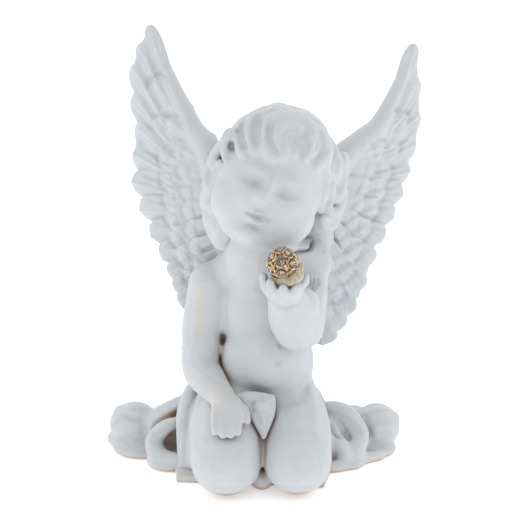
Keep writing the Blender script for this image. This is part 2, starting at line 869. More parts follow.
    def face(self) -> bpy.types.Object:
        """Model the face and the skull.

        Returns:
            The skin of the bald head.
        """
        lumps = [
            lump((0.2, 0.4, 0.2), (9.9, 10.4, 9.6), parts=40),
            lump((0.2, -3.4, -4.2), (9.6, 8.2, 9.3), parts=40),
            lump((-4.7, -5.6, -7.3), (4.6, 4.5, 5.4)),
            lump((5, -5.6, -7.1), (5, 4.5, 5.4)),
            lump((0.3, -4.6, -10.5), (7.4, 5.6, 4.8)),
            lump((0, -8.7, -11.6), (2.8, 2.7, 2.4)),
            lump((-0.4, -10.5, -4), (1.35, 1.65, 1.25)),
            lump((0, -9.6, self.mouth), (2.8, 1.6, 1.7)),
            lump((0, 3, -7), (8.2, 7, 7)),
        ]
        skin = Skin(press_together(lumps, "face", self.grain))
        skin.fill_hollows(22).soften(6)
        self.model_face(skin)
        piece = skin.done()
        piece.data.transform(Matrix.Rotation(math.radians(self.face_roll), 4, "Y"))
        return piece

    def build(self) -> bpy.types.Object:
        """Model the head.

        Returns:
            The head's skin.
        """
        cap = lump(self.hair_centre, [r - 0.35 for r in self.hair_radii], parts=40)
        cut_off(cap, (0, -6.6, 5), (0, -1, -0.55))
        parts = [self.face(), cap, *self.front_hair(), *self.side_hair(), *self.back_hair()]
        piece = press_together(parts, "head_with_hair_cast", self.grain)
        skin = Skin(piece)
        skin.fill_hollows(5).soften(1)
        self.comb(skin)
        skin.done()
        piece.data.transform(self.turn())
        return piece

    def comb(self, skin: Skin) -> None:
        """Comb grooves into the front hair."""
        grooves = (
            (((-55, 47), (-38, 33), (-24, 17)), 0.75, 0.9),
            (((-30, 54), (-26, 40), (-15, 25), (0, 17)), 0.55, 0.75),
            (((8, 45), (6, 38), (9, 31), (15, 26)), 0.6, 0.9),
            (((19, 44), (15, 37), (18, 30)), 0.55, 0.8),
            (((31, 53), (23, 42), (26, 33), (24, 24)), 0.5, 0.7),
            (((-68, 33), (-52, 20), (-37, 9)), 0.5, 0.8),
            (((-71, 21), (-64, 11), (-53, 4)), 0.5, 0.8),
            (((20, 62), (-8, 59), (-25, 50), (-29, 38)), 0.4, -0.3),
            (((47, 56), (47, 46), (40, 34), (36, 26)), 0.5, 0.6),
        )
        for course, width, depth in grooves:
            skin.stroke([self.on_hair(a, b, 0.7) for a, b in course], width * 1.4, depth)

    def model_face(self, skin: Skin) -> None:
        """Work over the eyes, the nose, the mouth and the chin."""
        front = (0, -1, 0)
        eye_x, eye_z = self.eye
        mouth = self.mouth
        skin.swell((-0.4, -11.6, -4.1), (1, 3, 0.85), 1.45)
        skin.stroke([(0, -9.6, -0.4), (-0.2, -10.6, -2), (-0.4, -11.6, -3.6)], 0.7, -0.45, front)
        for side in (-1, 1):
            skin.swell((side * 1.05 - 0.4, -10.8, -4.3), (0.5, 2, 0.42), 0.52)
            skin.swell((side * eye_x, -10, eye_z + 0.2), (1.6, 3, 1.05), -1.75)
            skin.swell((side * 1.5, -10.6, eye_z + 0.4), (0.9, 2, 1.1), -0.4)
            skin.swell((side * (eye_x + 0.1), -9.2, eye_z + 0.2), (1.1, 2.4, 0.7), 0.4)
            lid = [
                (side * (eye_x - 1.8), -10, eye_z + 0.05),
                (side * eye_x, -10, eye_z - 0.7),
                (side * (eye_x + 1.9), -9, eye_z + 0.15),
            ]
            skin.stroke(lid, 0.3, 0.36, front)
            fold = [
                (side * (eye_x - 1.7), -10, eye_z + 0.6),
                (side * eye_x, -10, eye_z + 1.05),
                (side * (eye_x + 1.8), -9, eye_z + 0.5),
            ]
            skin.stroke(fold, 0.32, 0.22, front)
            skin.swell((side * 3.5, -10.4, eye_z + 2.5), (2.6, 2, 0.9), 0.4)
            skin.swell((side * 0.55 - 0.4, -12.8, -4.95), (0.34, 1.2, 0.28), -0.58)
            skin.stroke(
                [(side * 1.9, -11.4, -5.6), (side * 2.5, -11, mouth + 1.1), (side * 2.9, -10.4, mouth + 0.2)],
                0.5,
                0.2,
                front,
            )
            skin.swell((side * 2.2, -10.6, mouth), (0.5, 2, 0.5), -0.62)
            skin.swell((side * 4.9, -9.8, -5.6), (2.3, 3, 2.1), 0.5)
        skin.swell((-0.7, -11.4, mouth + 0.65), (0.8, 1.8, 0.42), 0.7)
        skin.swell((0.7, -11.4, mouth + 0.65), (0.8, 1.8, 0.42), 0.7)
        skin.swell((0, -11.2, mouth - 0.85), (1.3, 2, 0.5), 1.1)
        line = [
            (-2.2, -10.4, mouth - 0.25),
            (-1.1, -11, mouth + 0.1),
            (0, -11.2, mouth),
            (1.1, -11, mouth + 0.1),
            (2.2, -10.4, mouth - 0.25),
        ]
        skin.stroke(line, 0.3, 0.85, front)
        skin.swell((-0.2, -11.2, -6), (0.4, 1.6, 0.6), -0.3)
        skin.swell((0, -10.6, mouth - 1.9), (1.7, 2, 0.6), -0.4)
        skin.swell((0, -10.4, -11.6), (1.5, 2, 1.1), 0.35)


# How far back the feathers' roots and tips lie at some heights, as pairs of a height and a depth.
ROOT_DEPTHS: tuple[Pair, ...] = ((28, 6.6), (40, 7), (50, 8), (60, 9.5), (68, 11))
TIP_DEPTHS: tuple[Pair, ...] = ((20, 8), (27, 9), (38, 11), (47, 12), (55, 13))


def spread(line: Sequence[Pair], depths: Sequence[Pair], count: int) -> list[Vector]:
    """Spread places evenly along a line that is drawn from the front.

    Args:
        line: The line's points, each across and up.
        depths: How far back it lies at some heights.
        count: How many places there are.

    Returns:
        The places.
    """
    smooth = curve_through(line, 12)
    steps = np.linspace(0, len(smooth) - 1, count)
    across, up = (np.interp(steps, np.arange(len(smooth)), column) for column in smooth.T)
    back = np.interp(up, *zip(*depths))
    return [Vector(place) for place in zip(across, back, up)]


@dataclass(frozen=True)
class QuillRow:
    """A row of feathers: the lines that their roots and their tips follow, from the top down."""

    count: int
    roots: tuple[Pair, ...]
    tips: tuple[Pair, ...]
    width: float
    forward: float

    def quills(self) -> list[tuple[Vector, Vector]]:
        """Give the root and the tip of each feather."""
        roots = spread(self.roots, ROOT_DEPTHS, self.count)
        return list(zip(roots, spread(self.tips, TIP_DEPTHS, self.count)))


@dataclass
class Wing:
    """A raised wing: rows of overlapping feathers that fan out from a rounded leading edge."""

    name: str
    rows: tuple[QuillRow, ...]
    edge: tuple[Triple, ...]
    edge_radii: tuple[float, ...]
    backing: tuple[Triple, Triple]
    knobs: tuple[tuple[Triple, float], ...]
    side: int = 1
    seed: int = 3
    hem: int = 6
    grain: float = 0.22

    def feather(self) -> bpy.types.Object:
        """Model one feather, one long and one wide, with its quill and its barbs.

        Returns:
            The feather, lying along Y.
        """
        bpy.ops.mesh.primitive_grid_add(x_subdivisions=12, y_subdivisions=48, size=1)
        blade = bpy.context.object
        points = np.empty(len(blade.data.vertices) * 3)
        blade.data.vertices.foreach_get("co", points)
        points = points.reshape(-1, 3)
        across, along = points[:, 0] * 2, points[:, 1] + 0.5
        end = np.sqrt(np.clip(1 - np.clip((along - 0.74) / 0.26, 0, 1) ** 2.2, 0, 1))
        outline = np.clip(0.5 + 0.75 * along, 0, 1) * end
        points[:, 0] = across * np.maximum(outline, 0.03) / 2
        points[:, 1] = along
        points[:, 2] = -0.13 * across**2 + 0.05 * np.exp(-((across / 0.12) ** 2))
        points[:, 2] += 0.014 * np.cos(2 * math.pi * across * 2.6) * np.clip(along * 3, 0, 1)
        blade.data.vertices.foreach_set("co", points.ravel())
        return blade

    def build(self) -> bpy.types.Object:
        """Model the wing.

        Returns:
            The wing's skin.
        """
        rng = random.Random(self.seed)
        master = self.feather()
        lumps = []
        primaries = self.rows[0].quills()
        for i, (root, tip) in enumerate(primaries):
            lumps.append(self.lay(master, root, root.lerp(tip, 0.84), min(8.4, 3.2 + 0.9 * i), 0))
        for layer, row in enumerate(self.rows):
            shift = Vector((0, -row.forward, 0))
            for i, (root, tip) in enumerate(row.quills()):
                tip.y -= 0.9 * layer
                narrow = 1.0 if layer else min(1.0, 0.55 + 0.14 * i)
                tilt = math.radians(self.side * rng.uniform(13, 18))
                lumps.append(self.lay(master, root + shift, tip + shift, row.width * narrow, tilt))
        bpy.data.objects.remove(master)
        lumps.append(roll(self.edge, self.edge_radii, 8))
        lumps += [lump(centre, (radius, radius * 0.8, radius), parts=14) for centre, radius in self.knobs]
        lumps.append(lump(*self.backing))
        hem = [tuple(root.lerp(tip, 0.945)) for root, tip in primaries[: self.hem]]
        lumps.append(roll(hem, [0.75] * len(hem)))
        piece = press_together(lumps, self.name, self.grain)
        skin = Skin(piece)
        skin.fill_hollows(3).soften(1)
        self.carve(skin)
        return skin.soften(1).done()

    def carve(self, skin: Skin) -> None:
        """Press a line round the tip of each covert, one between the primaries, and fine barbs."""
        for layer, row in enumerate(self.rows):
            quills = row.quills()
            for i, (root, tip) in enumerate(quills):
                way = (tip - root).normalized()
                side = way.cross(FORWARD).normalized() * row.width
                if layer:
                    self.carve_tip(skin, tip, way, side)
                elif i + 1 < len(quills):
                    below, under = quills[i + 1]
                    line = [root.lerp(tip, k).lerp(below.lerp(under, k), 0.55) for k in (0.35, 0.6, 0.86)]
                    skin.stroke(line, 0.4, 0.36, FORWARD)
                for share in (-0.27, -0.09, 0.11, 0.29):
                    barb = [root.lerp(tip, k) + side * share * (0.5 + 0.5 * k) for k in (0.55, 0.74, 0.93)]
                    skin.stroke(barb, 0.28, 0.11, FORWARD)

    def carve_tip(self, skin: Skin, tip: Vector, way: Vector, side: Vector) -> None:
        """Press an arc round a covert's tip and raise the middle of it.

        Args:
            skin: The wing's skin.
            tip: The tip.
            way: The way that the feather points.
            side: The feather's width, across it.
        """
        arc = []
        for degrees in range(-80, 81, 20):
            angle = math.radians(degrees)
            arc.append(tip + way * (2.6 * math.cos(angle) - 2.2) + side * 0.44 * math.sin(angle))
        skin.stroke(arc, 0.45, 0.42, FORWARD)
        skin.stroke([tip - way * 2.4, tip - way * 0.7], 1.2, -0.3, FORWARD)

    def lay(
        self, master: bpy.types.Object, root: Vector, tip: Vector, width: float, tilt: float
    ) -> bpy.types.Object:
        """Lay a copy of the feather from its root to its tip.

        Args:
            master: The feather to copy.
            root: Where its quill starts.
            tip: Where it ends.
            width: Its width.
            tilt: How far it is turned about its quill.

        Returns:
            The feather in its place.
        """
        choose([master])
        bpy.ops.object.duplicate()
        blade = bpy.context.object
        along = tip - root
        length = along.length
        way = along.normalized()
        out = (Vector((0, -1, 0)) + way * way.y).normalized()
        side = way.cross(out)
        turn = Matrix((side, way, out)).transposed().to_4x4()
        blade.data.transform(Matrix.Diagonal((width, length * 1.01, width * 0.8, 1)))
        solid = blade.modifiers.new("thickness", "SOLIDIFY")
        solid.thickness = 0.9
        solid.offset = 0
        apply_modifiers(blade)
        blade.data.transform(Matrix.Translation(root) @ turn @ Matrix.Rotation(tilt, 4, "Y"))
        return blade


@dataclass
class Cloth:
    """A piece of the drapery, built up from rolls."""

    name: str
    rolls: tuple[tuple[tuple[Triple, ...], tuple[float, ...]], ...]
    lumps: tuple[tuple[Triple, Triple, Triple], ...] = ()
    grooves: tuple[tuple[tuple[Triple, ...], float, float], ...] = ()
    grain: float = 0.3
    fillet: int = 14

    def build(self) -> bpy.types.Object:
        """Model the cloth.

        Returns:
            The cloth's skin.
        """
        parts = [roll(line, radii) for line, radii in self.rolls]
        parts += [lump(centre, radii, turn) for centre, radii, turn in self.lumps]
        piece = press_together(parts, self.name, self.grain)
        skin = Skin(piece)
        skin.fill_hollows(self.fillet).soften(3)
        for line, width, depth in self.grooves:
            skin.stroke(line, width, depth)
        skin.points[:, 2] = np.maximum(skin.points[:, 2], 0.0)
        return skin.done()


RIGHT_HEAP = Cloth(
    "drapery_right_heap_cast",
    rolls=(
        (
            ((-20.9, 5, 1.8), (-21.2, 3.8, 4.6), (-19.4, 3.4, 7.6), (-15.4, 3.8, 9.6), (-13, 4.4, 10)),
            (1.9, 2, 2.1, 2.2, 2),
        ),
        (
            (
                (-15.4, 0.4, 8.2),
                (-18.6, -0.4, 7),
                (-20.6, -1, 4.4),
                (-19.4, -2.8, 2),
                (-16, -4.4, 1.6),
                (-13.6, -5, 1.8),
            ),
            (1.2, 1.5, 1.8, 1.9, 1.8, 1.6),
        ),
        (((-28.6, 6.4, 2), (-26, 3.6, 1.4), (-22.6, 2.4, 1.2)), (1.5, 1.5, 1.4)),
        (((-27.4, 6.8, 7.4), (-24.6, 4.8, 8.4), (-21.8, 4.8, 7.8)), (1.3, 1.4, 1.2)),
    ),
    lumps=(
        ((-24.6, 6.8, 4.6), (5, 4.5, 4.6), (0, 8, 0)),
        ((-18.2, 6.6, 3.4), (5.4, 5.6, 4), (0, 0, 0)),
        ((-15.9, 3.8, 4.4), (3, 2.3, 4.6), (0, 0, 0)),
        ((-17.4, -1.2, 0.9), (4.8, 5, 1.6), (0, 0, -12)),
        ((-23.4, 5, 0.9), (5.6, 5, 1.6), (0, 0, -14)),
    ),
    grooves=(
        (((-22.8, 2.4, 9.4), (-22.6, 2, 6), (-23, 1.4, 2.6)), 0.7, 0.7),
        (((-20.4, 0.4, 4.6), (-19.2, 0.6, 6.8), (-16.8, 1, 8.8), (-14.6, 1, 9.4)), 0.6, 1.9),
        (((-28.2, 4, 3.4), (-25.4, 2, 3.2), (-22.8, 1.6, 3.4)), 0.5, 0.5),
        (((-27, 3.6, 8.4), (-24.6, 3, 7.4), (-22.4, 3.2, 7.6)), 0.5, 0.45),
        (((-28.8, 5, 3.6), (-28.4, 4, 6.4), (-26.2, 4, 8.6), (-23, 4, 9)), 0.5, -0.4),
        (((-24.4, 2, 5), (-24.6, 2, 3)), 2, 0.45),
        (((-19.4, -3.4, 2.6), (-21.4, -2, 5), (-19, -1.6, 7.6), (-15.6, -0.8, 9)), 0.45, -0.35),
        (((-21.6, 1.6, 3), (-21.4, 1.4, 6.6), (-18.6, 1.4, 9.4), (-14.6, 2, 11)), 0.45, -0.3),
    ),
    fillet=6,
    grain=0.26,
)

LEFT_HEAP = Cloth(
    "drapery_left_heap_cast",
    rolls=(
        (
            ((11, 3.8, 8), (13.6, 3, 8.8), (16.2, 2, 8), (18, 0.6, 5.2), (17, -1.8, 2.2)),
            (2.2, 2.2, 2.2, 2.3, 2.2),
        ),
        (((10.6, -0.6, 7.4), (13, -1.8, 5.8), (15, -2.8, 3.6), (15.4, -3.8, 1.6)), (1.6, 1.7, 1.7, 1.6)),
        (((12, -5.4, 1), (15, -4.6, 1), (18.8, -1.4, 1), (22.2, 0.6, 0.9)), (1.2, 1.2, 1.2, 1.1)),
        (((19.8, 4.2, 7.4), (22.6, 5, 7.6), (25, 6.6, 6)), (1.2, 1.5, 1.5)),
    ),
    lumps=(
        ((22, 6.8, 4.5), (4.5, 4.7, 4.3), (0, 18, 0)),
        ((16, 4.6, 3.4), (5, 5.4, 3.8), (0, 0, 0)),
        ((15.6, -0.8, 0.9), (4.4, 4.6, 1.6), (0, 0, 20)),
        ((12, -0.6, 4.4), (3.4, 3.4, 4.6), (0, 0, 0)),
        ((21, 4.6, 0.9), (4.8, 4.6, 1.5), (0, 0, 16)),
    ),
    grooves=(
        (((19.3, 2.8, 9), (19.7, 2, 6.4), (20.6, 1.6, 3)), 0.7, 1.5),
        (((12.4, 0.2, 8.6), (14.8, -0.8, 7), (16.6, -1.6, 4.6)), 0.55, 0.8),
        (((12.2, -1.6, 8.8), (13.4, -2.4, 7.2), (14.6, -2.8, 5.6)), 0.75, 1.6),
        (((11, -0.8, 6.6), (13, -2.6, 5), (14.4, -3.6, 3)), 0.4, 0.3),
        (((20.6, 2.6, 8.6), (23.6, 3, 8.8), (26.2, 4.6, 6.8), (26.6, 5, 4)), 0.5, -0.4),
        (((22.6, 2, 5.6), (23, 2, 3.4)), 1.6, 0.4),
        (((11.6, 1.4, 10), (14.6, 0.4, 10), (18.4, -0.8, 7.6), (19.6, -1.6, 4.4)), 0.5, -0.35),
    ),
    fillet=6,
    grain=0.26,
)

REAR_DRAPE = Cloth(
    "drapery_rear_cast",
    rolls=(
        (
            ((-10.8, 2.4, 15.4), (-8, 7.6, 17), (-1, 9.8, 17.8), (5.6, 8, 16.4), (8, 3.6, 13.4)),
            (2, 2.3, 2.4, 2.3, 1.9),
        ),
        (((-12.4, 5, 10.4), (-6, 11.2, 11.2), (2.4, 12, 14.2), (8, 7, 15.2)), (1.8, 2, 1.9, 1.6)),
        (((-9.6, 7.2, 14.6), (-11.8, 10.4, 9), (-15, 12.2, 3.2)), (1.3, 1.6, 1.9)),
        (((-6.8, 9.4, 15.6), (-7.8, 12.4, 9.4), (-10, 14.4, 3)), (1.3, 1.6, 1.9)),
        (((-2.8, 10.6, 16), (-3.2, 13.4, 9.6), (-4.2, 15.6, 3)), (1.3, 1.6, 1.9)),
        (((1.2, 10.6, 15.8), (1.8, 13.4, 9.4), (2, 15.8, 3)), (1.3, 1.6, 1.9)),
        (((4.8, 9.4, 15), (6.4, 12.4, 9), (8.2, 14.6, 3)), (1.3, 1.6, 1.9)),
        (((7.6, 6.8, 13.4), (10, 10, 8.4), (13.6, 12.4, 3.2)), (1.3, 1.6, 1.9)),
        (
            ((-19, 11, 4), (-9, 13.8, 3), (1, 14.4, 2.6), (10, 13.4, 3), (18, 10.8, 3.8)),
            (3.2, 2.8, 2.6, 2.8, 3.2),
        ),
    ),
    lumps=(
        ((0, 6.6, 8.6), (11, 7, 9), (0, 0, 0)),
        ((-0.6, 8.8, 7), (13, 5.2, 9), (0, 0, 0)),
        ((-0.6, 10, 3.6), (15.4, 5.6, 4.6), (0, 0, 0)),
    ),
    grooves=(
        (((-7.4, 16, 2), (-5.6, 13.8, 8), (-4.6, 11.6, 14)), 0.6, 0.6),
        (((-1, 17, 2), (-0.8, 14.6, 8), (-0.8, 12, 14)), 0.6, 0.6),
        (((5.2, 16.6, 2), (4.2, 14, 8), (3.2, 11.6, 14)), 0.6, 0.6),
    ),
    grain=0.33,
)

HIP_FALL = Cloth(
    "drapery_hip_fall_cast",
    rolls=(
        (
            ((-11.8, 2.4, 15.6), (-13.6, 0, 13.6), (-14.8, -1.4, 9.8), (-14.8, -3.6, 5), (-14.4, -6, 1.6)),
            (1.5, 1.6, 1.6, 1.5, 1.6),
        ),
        (((-11, 0.8, 14), (-12.6, -2.6, 11), (-13.2, -5, 6.4), (-12.8, -7.4, 2.4)), (1.2, 1.1, 1.1, 1.4)),
        (((-13.6, -6.6, 0.8), (-15.6, -6, 0.8)), (1.1, 1)),
    ),
    grooves=((((-12.6, -0.8, 14.4), (-14, -3.4, 9.6), (-14, -5.6, 5), (-13.6, -7.2, 2.2)), 0.4, 0.35),),
    fillet=8,
    grain=0.22,
)

LAP_CORNER = Cloth(
    "drapery_lap_corner_cast",
    rolls=(
        (((-5.4, -10.4, 17), (-2, -10.7, 17.5), (1.6, -10.2, 16.9)), (0.8, 0.9, 0.7)),
        (((-3.4, -11.4, 16.8), (-1.8, -13, 14.4), (0, -15.2, 11.5)), (0.6, 0.7, 0.45)),
        (((1.7, -10.6, 16.5), (1.4, -12.6, 14.5), (0.1, -15.4, 11.3)), (0.7, 0.75, 0.5)),
        (((-1.4, -10.8, 17), (-0.2, -12.4, 15), (0, -14.8, 12.1)), (1, 1.1, 0.6)),
    ),
    lumps=(
        ((-0.3, -12.1, 14.8), (1.9, 1.3, 3), (32, 0, 0)),
        ((-0.2, -11.3, 16.2), (2, 1.2, 1.4), (0, 0, 0)),
        ((-1.8, -10.9, 16.6), (2.8, 1.1, 1.3), (32, 0, 0)),
    ),
    grooves=(
        (((-2, -11.4, 17.4), (-1, -13, 15), (-0.1, -15, 12.2)), 0.3, 0.25),
        (((0.5, -11.4, 17.2), (0.6, -13.2, 15), (0.2, -15, 12.4)), 0.3, 0.25),
    ),
    grain=0.18,
    fillet=9,
)

PRIMARY_WIDTH, UPPER_COVERT_WIDTH, LOWER_COVERT_WIDTH = 6.2, 5.2, 4.6
PRIMARY_FORWARD, UPPER_COVERT_FORWARD, LOWER_COVERT_FORWARD = 0.3, 1.2, 2

RIGHT_WING = Wing(
    "right_wing_cast",
    rows=(
        QuillRow(
            13,
            roots=((-16, 64.5), (-15.5, 59), (-14, 55), (-12.5, 49.5), (-11.5, 45), (-10.5, 39), (-9.5, 33)),
            tips=((-21, 81.5), (-24, 74), (-23.5, 62.5), (-24.5, 52), (-21, 41.5), (-17, 33.5), (-15, 28)),
            width=PRIMARY_WIDTH,
            forward=PRIMARY_FORWARD,
        ),
        QuillRow(
            9,
            roots=((-13.5, 60.5), (-12, 56), (-11, 50.5), (-10.5, 45), (-9.5, 39)),
            tips=((-20, 72.5), (-19.5, 58), (-18.5, 49), (-17, 41), (-14, 33.5)),
            width=UPPER_COVERT_WIDTH,
            forward=UPPER_COVERT_FORWARD,
        ),
        QuillRow(
            8,
            roots=((-11, 59.5), (-9.5, 53.5), (-8.5, 46.5), (-8, 40)),
            tips=((-17.5, 65), (-15.5, 54), (-14.5, 44.5), (-12.5, 36)),
            width=LOWER_COVERT_WIDTH,
            forward=LOWER_COVERT_FORWARD,
        ),
    ),
    edge=((-4, 4, 30.5), (-6.5, 6, 42), (-9.5, 7, 58), (-13, 9, 63), (-17, 11, 71), (-20.5, 13, 80)),
    edge_radii=(1.8, 2.7, 2.5, 2.1, 1.6, 0.85),
    backing=((-10, 8.1, 41.6), (5.2, 1.4, 10)),
    knobs=(((-14, 10, 66.5), 1.4), ((-10, 8, 61), 1.7)),
    side=-1,
)

LEFT_WING = Wing(
    "left_wing_cast",
    rows=(
        QuillRow(
            13,
            roots=((23.5, 61.5), (20.5, 57), (17, 52.5), (16, 48), (14.5, 42.5), (12.5, 36), (10, 28)),
            tips=((28, 78), (29, 65), (27.5, 54), (24.5, 45), (20, 36), (15.5, 26.5), (11.5, 21)),
            width=PRIMARY_WIDTH,
            forward=PRIMARY_FORWARD,
        ),
        QuillRow(
            9,
            roots=((19, 59), (16.5, 54), (15, 49.5), (13.5, 44), (11, 37.5)),
            tips=((26.5, 65.5), (24, 54.5), (21.5, 46.5), (17.5, 38), (14, 30)),
            width=UPPER_COVERT_WIDTH,
            forward=UPPER_COVERT_FORWARD,
        ),
        QuillRow(
            7,
            roots=((16.5, 58), (15, 53.5), (13.5, 49), (11.5, 43)),
            tips=((22.5, 60), (19.5, 51), (17, 44), (13.5, 36.5)),
            width=LOWER_COVERT_WIDTH,
            forward=LOWER_COVERT_FORWARD,
        ),
    ),
    edge=(
        (4, 4, 30.5),
        (8, 6, 43),
        (13, 7, 55.5),
        (18.5, 9, 61),
        (21.5, 9.5, 63.5),
        (24.5, 11, 69),
        (28, 13, 77),
    ),
    edge_radii=(1.8, 3, 2.9, 2.1, 1.9, 1.45, 0.8),
    backing=((12.4, 8.1, 42), (5.2, 1.4, 10)),
    knobs=(((19, 9, 61.5), 1.5), ((22.5, 10, 65.5), 1.2)),
    seed=5,
    hem=4,
)


@dataclass
class BaseSlab:
    """The thin slab under the figure, ground flat underneath."""

    outline: tuple[Pair, ...] = ((-16.2, -10.4), (11.4, -13), (12.8, -6), (12, 9), (-11.5, 9), (-16.4, -2))
    height: float = 1.6
    worn_edge: float = 0.35
    waviness: float = 0.12
    grain: float = 0.25

    def low_corner(self) -> Triple:
        """Give the lowest corner of the slab's box in the drawing."""
        return (min(x for x, _ in self.outline), min(y for _, y in self.outline), 0)

    def build(self) -> bpy.types.Object:
        """Model the slab, with a worn edge.

        Returns:
            The slab.
        """
        bpy.ops.mesh.primitive_circle_add(vertices=len(self.outline), fill_type="NGON")
        piece = bpy.context.object
        piece.name = piece.data.name = "base_slab_cast"
        for vertex, (x, y) in zip(piece.data.vertices, self.outline):
            vertex.co = (x, y, 0)
        bpy.ops.object.mode_set(mode="EDIT")
        bpy.ops.mesh.select_all(action="SELECT")
        bpy.ops.mesh.extrude_region_move(TRANSFORM_OT_translate={"value": (0, 0, self.height)})
        bpy.ops.mesh.select_all(action="SELECT")
        bpy.ops.mesh.normals_make_consistent(inside=False)
        bpy.ops.object.mode_set(mode="OBJECT")
        bevel = piece.modifiers.new("worn_edge", "BEVEL")
        bevel.width = self.worn_edge
        bevel.segments = 2
        remesh = piece.modifiers.new("skin", "REMESH")
        remesh.mode = "VOXEL"
        remesh.voxel_size = self.grain
        apply_modifiers(piece)
        skin = Skin(piece)
        rim = np.clip(1 - np.abs(skin.points[:, 2] - self.height * 0.6) / 1.2, 0, 1)
        wave = np.sin(skin.points[:, 0] * 2.1) * np.cos(skin.points[:, 1] * 1.7 + skin.points[:, 0])
        skin.points += skin.normals() * (wave * rim * self.waviness)[:, None]
        skin.points[:, 2] = np.clip(skin.points[:, 2], 0, None)
        return skin.done()


@dataclass(frozen=True)
class StoneRing:
    """A ring of stones round the ball: how many, at which latitude, turned how far."""

    count: int
    latitude: float
    turn: float


